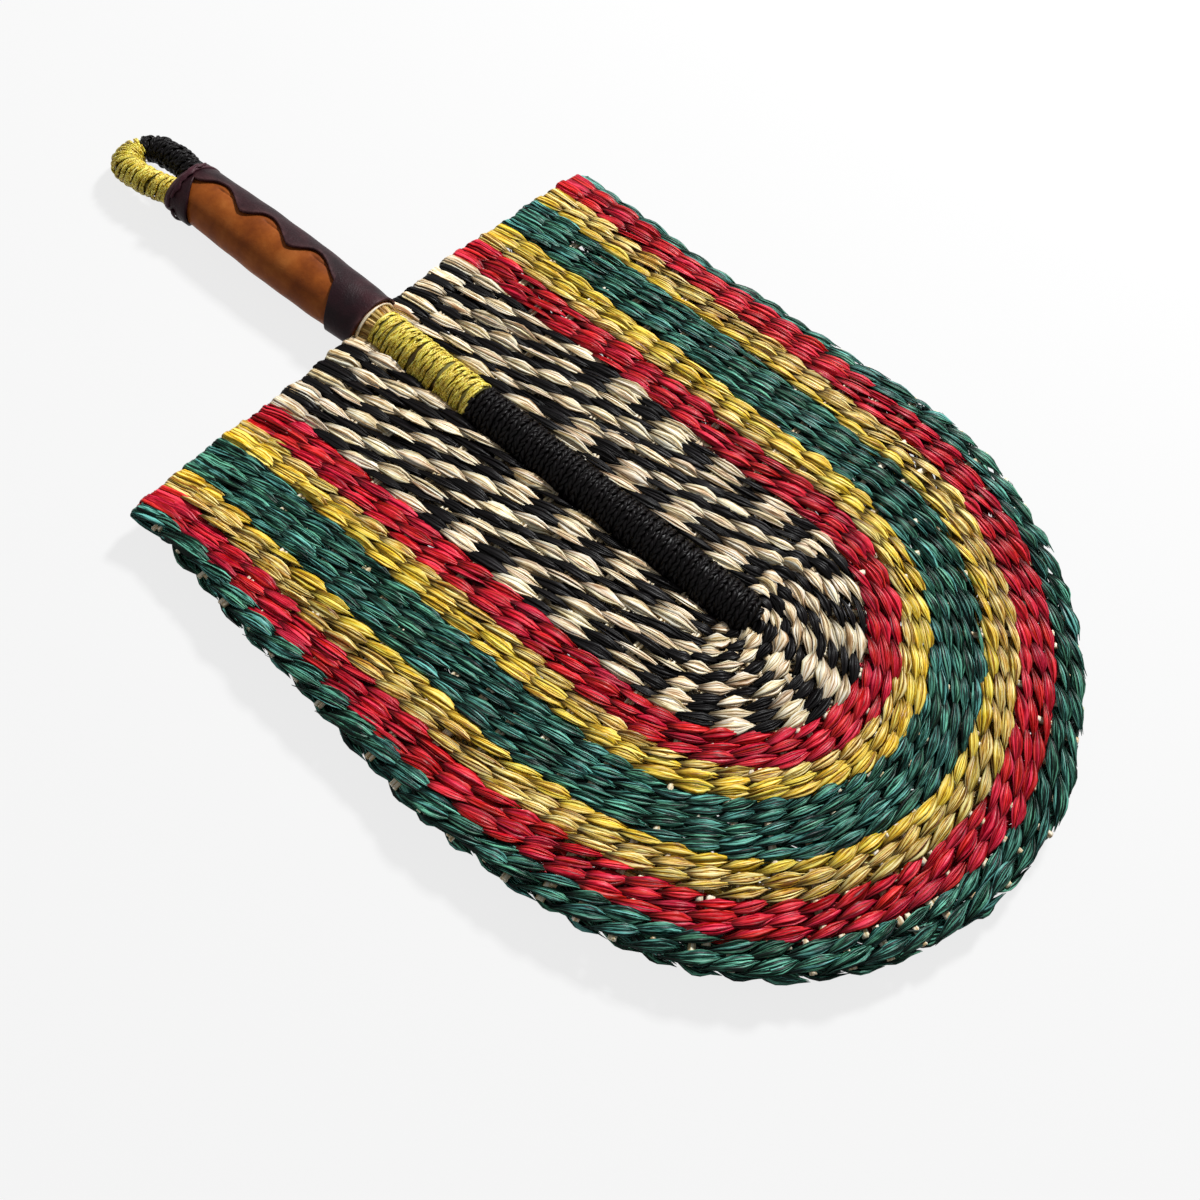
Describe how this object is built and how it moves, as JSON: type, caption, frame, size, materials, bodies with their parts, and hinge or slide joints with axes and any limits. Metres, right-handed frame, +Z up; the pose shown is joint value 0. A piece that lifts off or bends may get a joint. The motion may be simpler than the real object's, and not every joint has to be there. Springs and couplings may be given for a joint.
{
  "type": "woven hand fan",
  "caption": "Paddle-shaped hand fan: dyed straw rows twined round a wrapped spine, with a two-tone leather grip and a hanging loop.",
  "frame": {"origin": "under the middle of the fan's box, on the surface that the fan lies on", "axes": "+X across the blade, +Y along the handle towards the blade's round end, +Z up through the front face"},
  "size_m": [0.2598, 0.4342, 0.0229],
  "materials": {
    "cream_straw": "natural straw, satin",
    "black_straw": "dyed straw, satin",
    "red_straw": "dyed straw, satin",
    "yellow_straw": "dyed straw, satin",
    "green_straw": "dyed straw, satin",
    "natural_straw": "undyed straw, satin",
    "stalk_bundle": "undyed stalks",
    "yellow_wrap": "dyed straw, satin",
    "tan_leather": "smooth goat leather, burnished",
    "dark_leather": "dyed goat leather, worn"
  },
  "bodies": {
    "root": {"field_row_1": "cream_straw", "field_row_2": "black_straw", "field_row_3": "cream_straw", "field_row_4": "black_straw", "field_row_5": "cream_straw", "field_row_6": "black_straw", "field_row_7": "cream_straw", "field_row_8": "black_straw", "field_row_9": "cream_straw", "inner_red_row_1": "red_straw", "inner_red_row_2": "red_straw", "inner_red_row_3": "red_straw", "inner_yellow_row_1": "yellow_straw", "inner_yellow_row_2": "yellow_straw", "inner_yellow_row_3": "yellow_straw", "inner_green_row_1": "green_straw", "inner_green_row_2": "green_straw", "inner_green_row_3": "green_straw", "inner_green_row_4": "green_straw", "inner_green_row_5": "green_straw", "outer_yellow_row_1": "yellow_straw", "outer_yellow_row_2": "yellow_straw", "outer_yellow_row_3": "yellow_straw", "outer_red_row_1": "red_straw", "outer_red_row_2": "red_straw", "outer_red_row_3": "red_straw", "rim_green_row_1": "green_straw", "rim_green_row_2": "green_straw", "cross_straw_01": "natural_straw", "cross_straw_02": "natural_straw", "cross_straw_03": "natural_straw", "cross_straw_04": "natural_straw", "cross_straw_05": "natural_straw", "cross_straw_06": "natural_straw", "cross_straw_07": "natural_straw", "cross_straw_08": "natural_straw", "cross_straw_09": "natural_straw", "cross_straw_10": "natural_straw", "cross_straw_11": "natural_straw", "cross_straw_12": "natural_straw", "cross_straw_13": "natural_straw", "cross_straw_14": "natural_straw", "tip_straws": "natural_straw", "spine_core": "stalk_bundle", "spine_black_wrap": "black_straw", "spine_yellow_wrap": "yellow_wrap", "loop_core": "stalk_bundle", "loop_black_wrap": "black_straw", "loop_yellow_wrap": "yellow_wrap", "grip_sleeve": "tan_leather", "grip_overlay": "dark_leather", "loop_end_thong": "dark_leather"}
  },
  "joints": []
}
